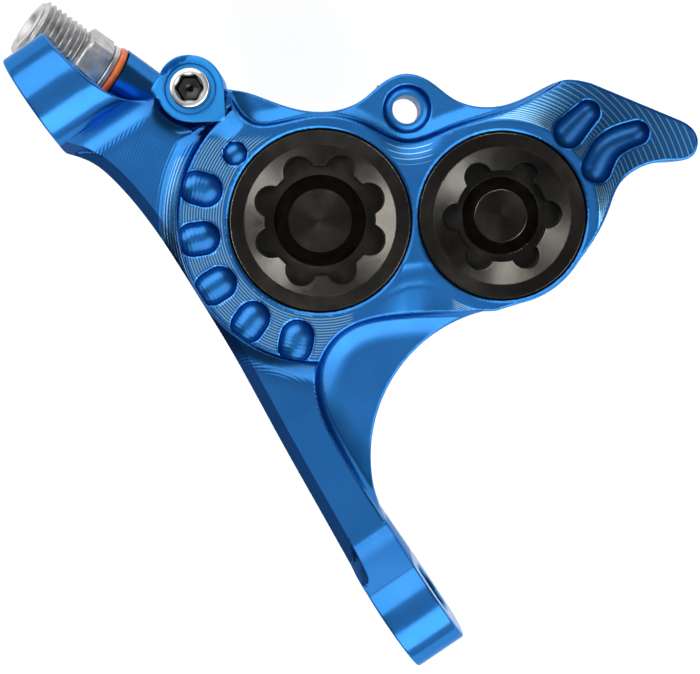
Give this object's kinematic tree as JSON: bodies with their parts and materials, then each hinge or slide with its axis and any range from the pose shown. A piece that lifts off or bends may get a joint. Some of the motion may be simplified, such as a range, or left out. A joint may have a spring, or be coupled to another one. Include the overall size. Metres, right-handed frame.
{
  "type": "bicycle disc brake caliper",
  "caption": "Front flat-mount bicycle disc brake caliper milled from one block, with opposed pistons of two sizes, screwed bore caps, pads, a bleed screw and a hose union.",
  "frame": {"origin": "halfway between the two bolt slots, on the plane of the mounting feet and in the middle of the slots' length", "axes": "+X along the mounting feet towards the ear below the open hollow; +Y away from the fork, out of the mounting feet; +Z along the wheel's axle, away from the wheel, towards the bore caps"},
  "size_m": [0.0875, 0.0594, 0.0417],
  "materials": {
    "body_blue": "blue anodised, milled",
    "cap_black": "black anodised, turned",
    "seal_rubber": "smooth",
    "oring_orange": "smooth",
    "union_steel": "plain",
    "screw_steel": "plain",
    "spring_steel": "plain",
    "piston_steel": "ground",
    "insert_phenolic": "matt",
    "pad_plate_steel": "stamped",
    "friction_compound": "rough"
  },
  "bodies": {
    "caliper": {"caliper_body": "body_blue", "large_bore_cap": "cap_black", "small_bore_cap": "cap_black", "large_bore_cap_oring": "seal_rubber", "small_bore_cap_oring": "seal_rubber", "hose_union": "union_steel", "hose_oring": "oring_orange", "pad_spring": "spring_steel", "outboard_large_piston_seal": "seal_rubber", "outboard_small_piston_seal": "seal_rubber", "inboard_large_piston_seal": "seal_rubber", "inboard_small_piston_seal": "seal_rubber"},
    "outboard_pad": {"outboard_pad_plate": "pad_plate_steel", "outboard_pad_friction": "friction_compound"},
    "inboard_pad": {"inboard_pad_plate": "pad_plate_steel", "inboard_pad_friction": "friction_compound"},
    "bleed": {"bleed_screw": "screw_steel"},
    "outboard_large_piston": {"outboard_large_piston": "piston_steel", "outboard_large_piston_insert": "insert_phenolic"},
    "outboard_small_piston": {"outboard_small_piston": "piston_steel", "outboard_small_piston_insert": "insert_phenolic"},
    "inboard_large_piston": {"inboard_large_piston": "piston_steel", "inboard_large_piston_insert": "insert_phenolic"},
    "inboard_small_piston": {"inboard_small_piston": "piston_steel", "inboard_small_piston_insert": "insert_phenolic"}
  },
  "joints": [
    {"name": "outboard_pad_slide", "type": "slide", "parent": "caliper", "child": "outboard_pad", "axis": [0, 0, -1], "range_m": [-0.0005, 0.0012], "deforming": ["pad_spring"]},
    {"name": "inboard_pad_slide", "type": "slide", "parent": "caliper", "child": "inboard_pad", "axis": [0, 0, 1], "range_m": [-0.0005, 0.0012]},
    {"name": "outboard_large_piston_slide", "type": "slide", "parent": "caliper", "child": "outboard_large_piston", "axis": [0, 0, -1], "range_m": [-0.0005, 0.0012]},
    {"name": "outboard_small_piston_slide", "type": "slide", "parent": "caliper", "child": "outboard_small_piston", "axis": [0, 0, -1], "range_m": [-0.0005, 0.0012]},
    {"name": "inboard_large_piston_slide", "type": "slide", "parent": "caliper", "child": "inboard_large_piston", "axis": [0, 0, 1], "range_m": [-0.0005, 0.0012]},
    {"name": "inboard_small_piston_slide", "type": "slide", "parent": "caliper", "child": "inboard_small_piston", "axis": [0, 0, 1], "range_m": [-0.0005, 0.0012]},
    {"name": "bleed_screw_turn", "type": "hinge", "parent": "caliper", "child": "bleed", "pos_m": [-0.02672, 0.0155, 0.0036], "axis": [0, 0, 1], "range_deg": [0, 180]}
  ],
  "couplings": [
    {"joint": "inboard_pad_slide", "follows": "outboard_pad_slide", "ratio": 1},
    {"joint": "outboard_large_piston_slide", "follows": "outboard_pad_slide", "ratio": 1},
    {"joint": "outboard_small_piston_slide", "follows": "outboard_pad_slide", "ratio": 1},
    {"joint": "inboard_large_piston_slide", "follows": "outboard_pad_slide", "ratio": 1},
    {"joint": "inboard_small_piston_slide", "follows": "outboard_pad_slide", "ratio": 1}
  ]
}
